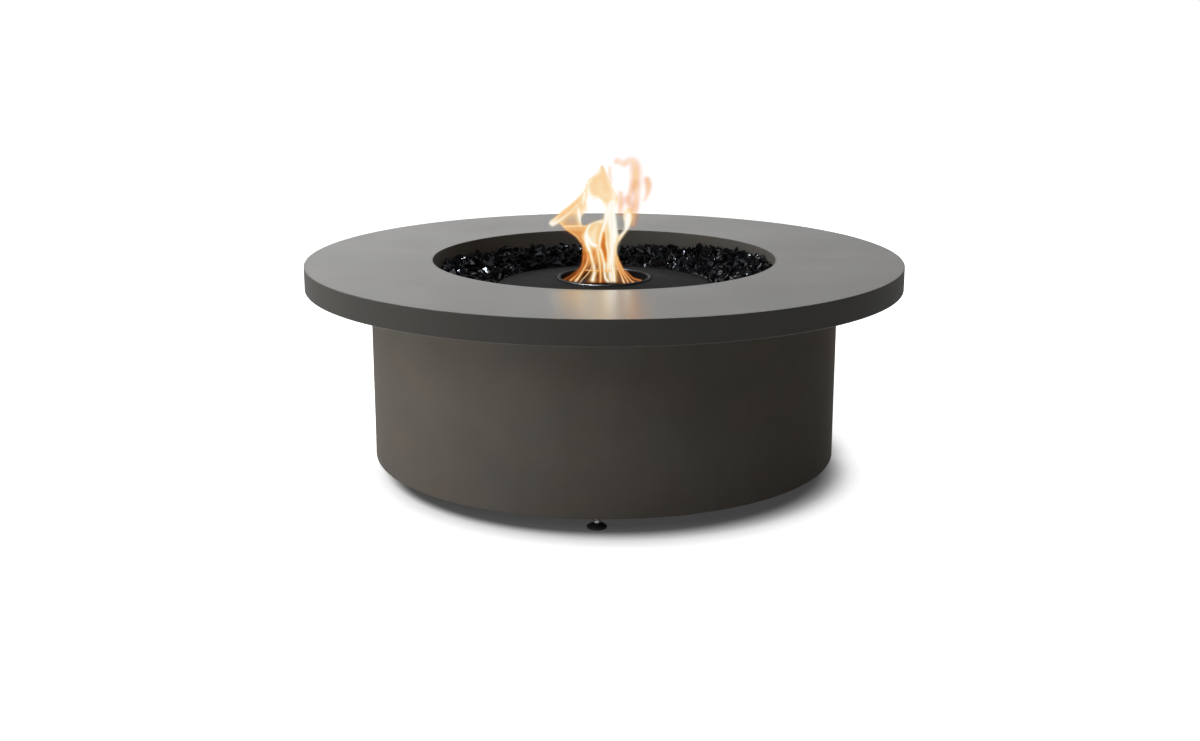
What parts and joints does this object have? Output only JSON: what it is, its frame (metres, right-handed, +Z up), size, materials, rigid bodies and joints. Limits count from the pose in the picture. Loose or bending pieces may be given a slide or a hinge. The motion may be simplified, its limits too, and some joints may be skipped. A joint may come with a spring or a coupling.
{
  "type": "fire pit table",
  "caption": "Low round concrete fire pit table: a wide round slab on a drum, with a lift-out liquid-fuel burner in a pit of crushed black glass, on levelling feet.",
  "frame": {"origin": "on the floor under the feet, on the vertical axis of the round top", "axes": "+Z up along the table's axis; -Y is the side seen in the picture, with a levelling foot; the glass is heaped higher towards +X"},
  "size_m": [1.27, 1.27, 0.445],
  "materials": {
    "concrete": "satin cast concrete",
    "black_glass": "broken gloss",
    "black_steel": "satin heat-proof coating",
    "stainless": "brushed",
    "zinc_steel": "zinc plated",
    "ceramic_board": "matte",
    "rubber": "matte",
    "black_plastic": "satin"
  },
  "bodies": {
    "table": {"table_top": "concrete", "pedestal": "concrete", "bracket_angles": "zinc_steel", "bracket_washers": "zinc_steel", "bracket_bolts": "zinc_steel", "bracket_inserts": "zinc_steel", "foot_inserts": "zinc_steel", "foot_lock_nuts": "zinc_steel", "tray_gasket": "rubber", "fire_tray": "stainless", "burner_well": "stainless", "well_rivets": "stainless", "drain_grommet": "rubber", "glass_bed": "black_glass", "glass_lumps": "black_glass"},
    "burner": {"burner_casing": "stainless", "burner_tank": "stainless", "tank_spacers": "ceramic_board", "burner_plate": "black_steel", "burner_neck": "black_steel", "skirt_rivets": "stainless", "burner_pads": "rubber"},
    "efficiency_ring": {"efficiency_ring": "stainless"},
    "foot_front": {"foot_pad_front": "black_plastic"},
    "stem_front": {"foot_stem_front": "zinc_steel"},
    "foot_right": {"foot_pad_right": "black_plastic"},
    "stem_right": {"foot_stem_right": "zinc_steel"},
    "foot_back": {"foot_pad_back": "black_plastic"},
    "stem_back": {"foot_stem_back": "zinc_steel"},
    "foot_left": {"foot_pad_left": "black_plastic"},
    "stem_left": {"foot_stem_left": "zinc_steel"}
  },
  "joints": [
    {"name": "burner_lift", "type": "slide", "parent": "table", "child": "burner", "axis": [0, 0, 1], "range_m": [0, 0.18]},
    {"name": "ring_lift", "type": "slide", "parent": "burner", "child": "efficiency_ring", "axis": [0, 0, 1], "range_m": [0, 0.05]},
    {"name": "foot_front_slide", "type": "slide", "parent": "table", "child": "foot_front", "axis": [0, 0, -1], "range_m": [0, 0.015]},
    {"name": "stem_front_turn", "type": "hinge", "parent": "foot_front", "child": "stem_front", "pos_m": [0, -0.471, 0], "axis": [0, 0, -1], "range_deg": [0, 3600]},
    {"name": "foot_right_slide", "type": "slide", "parent": "table", "child": "foot_right", "axis": [0, 0, -1], "range_m": [0, 0.015]},
    {"name": "stem_right_turn", "type": "hinge", "parent": "foot_right", "child": "stem_right", "pos_m": [0.471, 0, 0], "axis": [0, 0, -1], "range_deg": [0, 3600]},
    {"name": "foot_back_slide", "type": "slide", "parent": "table", "child": "foot_back", "axis": [0, 0, -1], "range_m": [0, 0.015]},
    {"name": "stem_back_turn", "type": "hinge", "parent": "foot_back", "child": "stem_back", "pos_m": [0, 0.471, 0], "axis": [0, 0, -1], "range_deg": [0, 3600]},
    {"name": "foot_left_slide", "type": "slide", "parent": "table", "child": "foot_left", "axis": [0, 0, -1], "range_m": [0, 0.015]},
    {"name": "stem_left_turn", "type": "hinge", "parent": "foot_left", "child": "stem_left", "pos_m": [-0.471, 0, 0], "axis": [0, 0, -1], "range_deg": [0, 3600]}
  ],
  "couplings": [
    {"joint": "stem_front_turn", "follows": "foot_front_slide", "rad_per_m": 4188.8},
    {"joint": "stem_right_turn", "follows": "foot_right_slide", "rad_per_m": 4188.8},
    {"joint": "stem_back_turn", "follows": "foot_back_slide", "rad_per_m": 4188.8},
    {"joint": "stem_left_turn", "follows": "foot_left_slide", "rad_per_m": 4188.8}
  ]
}
